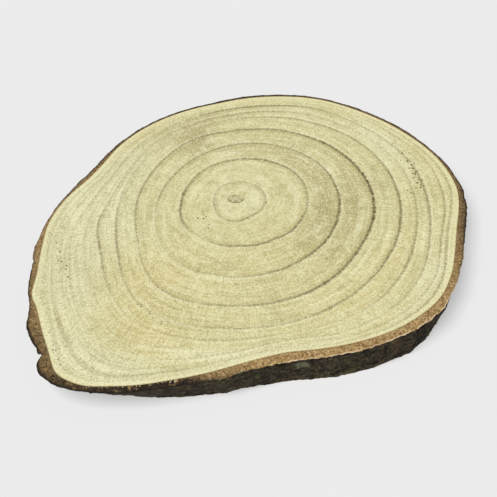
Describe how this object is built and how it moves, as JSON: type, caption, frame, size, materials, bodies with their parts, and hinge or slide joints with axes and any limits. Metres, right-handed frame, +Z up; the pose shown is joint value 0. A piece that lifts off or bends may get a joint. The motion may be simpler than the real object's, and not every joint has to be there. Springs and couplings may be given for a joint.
{
  "type": "wood slice",
  "caption": "Flat cross-cut slice of a young trunk with sanded faces, growth rings, pith and a closed ring of bark.",
  "frame": {"origin": "centre of the bounding box, at the underside that rests on the table", "axes": "+Z up out of the upper sanded face, +X along the slice's longest extent, towards the side opposite the pointed lobe"},
  "size_m": [0.3014, 0.2808, 0.022],
  "materials": {
    "sanded_wood": "sanded end grain, bare and matt",
    "bark": "natural weathered bark with a sawn tan edge"
  },
  "bodies": {
    "root": {"wood": "sanded_wood", "bark": "bark"}
  },
  "joints": []
}
